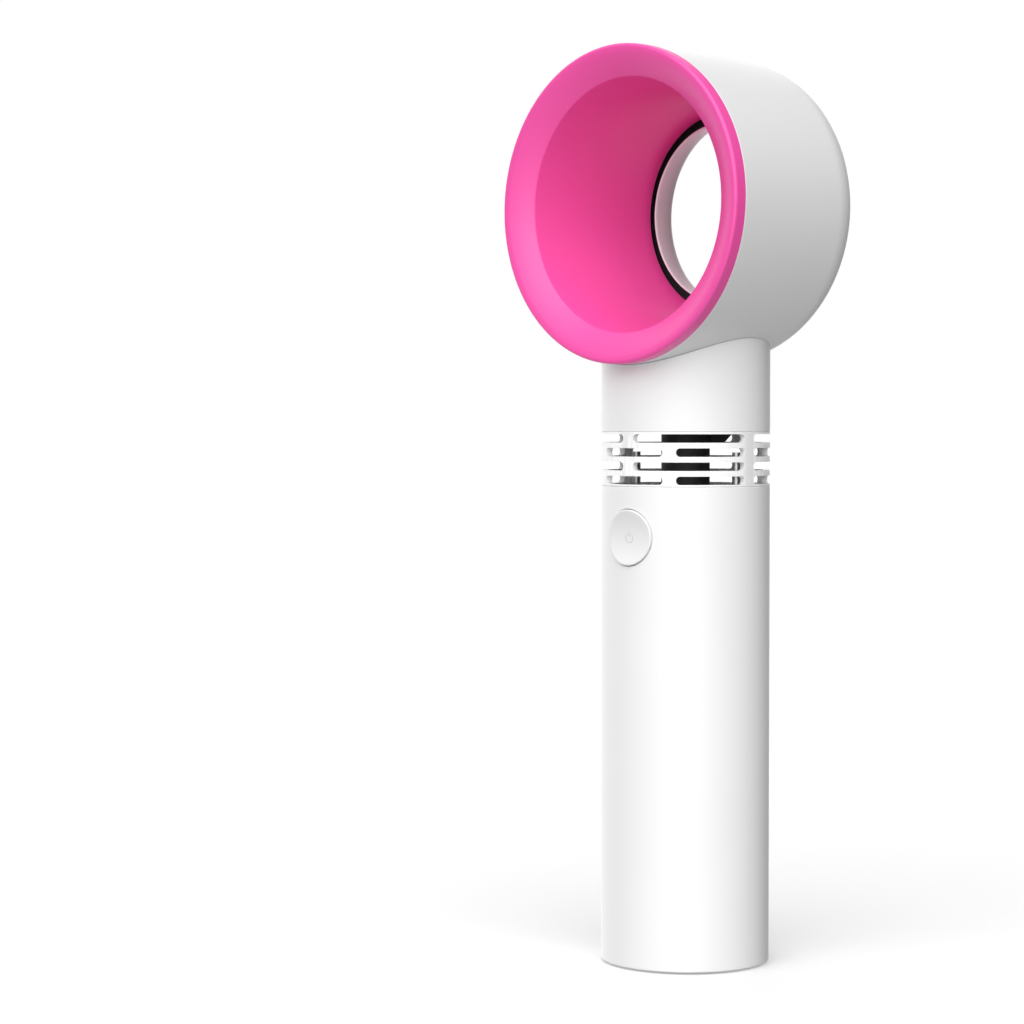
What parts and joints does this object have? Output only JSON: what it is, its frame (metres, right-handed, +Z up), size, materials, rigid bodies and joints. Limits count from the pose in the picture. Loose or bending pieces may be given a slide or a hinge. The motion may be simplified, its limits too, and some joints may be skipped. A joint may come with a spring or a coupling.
{
  "type": "handheld fan",
  "caption": "Battery handheld fan with an open ring head: air drawn in through handle slots leaves an annular nozzle; push button on the front, charging port on the side.",
  "frame": {"origin": "where the handle's axis meets the surface that the fan stands on, at the underside of the base pad", "axes": "+Z up along the handle, -Y the front, where the air leaves the ring and the power button is; the charging port faces -X"},
  "size_m": [0.0732, 0.0462, 0.2135],
  "materials": {
    "head_white": "satin",
    "body_white": "satin",
    "pink_plastic": "satin",
    "button_white": "satin",
    "rubber_grey": "matte",
    "sleeve_black": "matte",
    "screw_steel": "satin",
    "port_black": "matte",
    "cradle_grey": "matte",
    "mount_dark": "matte",
    "duct_white": "satin",
    "cell_wrap": "satin",
    "insulator_white": "matte",
    "nickel_strip": "satin",
    "wire_red": "satin",
    "wire_black": "satin",
    "board_green": "satin",
    "chip_black": "matte",
    "usb_steel": "satin",
    "tongue_white": "satin",
    "plunger_white": "satin",
    "motor_steel": "satin",
    "magnet_grey": "matte",
    "end_cap_ivory": "matte",
    "contact_brass": "satin",
    "bush_bronze": "satin",
    "core_steel": "satin",
    "winding_copper": "satin"
  },
  "bodies": {
    "housing": {"head_shell": "head_white", "flow_ring": "pink_plastic", "neck_tube": "body_white", "intake_grille": "body_white", "handle_tube": "body_white", "base_cap": "body_white", "base_pad": "rubber_grey", "base_screws": "screw_steel", "grille_screws": "screw_steel", "port_bezel": "port_black", "battery_cradle": "cradle_grey", "battery_cell": "cell_wrap", "battery_insulator": "insulator_white", "battery_tab_top": "nickel_strip", "battery_tab_bottom": "nickel_strip", "battery_lead_red": "wire_red", "battery_lead_black": "wire_black", "control_board": "board_green", "board_screws": "screw_steel", "board_components": "chip_black", "usb_shell": "usb_steel", "usb_tongue": "tongue_white", "switch_body": "port_black", "motor_lead_red": "wire_red", "motor_lead_black": "wire_black", "motor_can": "motor_steel", "motor_magnets": "magnet_grey", "motor_end_cap": "end_cap_ivory", "motor_terminals": "contact_brass", "motor_brushes": "contact_brass", "bearing_upper": "bush_bronze", "bearing_lower": "bush_bronze", "damper_sleeve": "sleeve_black", "motor_mount": "mount_dark", "diffuser": "duct_white"},
    "rotor": {"motor_shaft": "screw_steel", "armature_core": "core_steel", "armature_windings": "winding_copper", "commutator": "winding_copper", "impeller": "duct_white"},
    "button": {"power_button": "button_white", "switch_plunger": "plunger_white"}
  },
  "joints": [
    {"name": "impeller_spin", "type": "hinge", "parent": "housing", "child": "rotor", "pos_m": [0, 0, 0.131], "axis": [0, 0, 1], "continuous": true},
    {"name": "button_press", "type": "slide", "parent": "housing", "child": "button", "axis": [0, 1, 0], "range_m": [0, 0.0004], "stiffness_N_per_m": 4000, "springref_m": -0.0001}
  ]
}
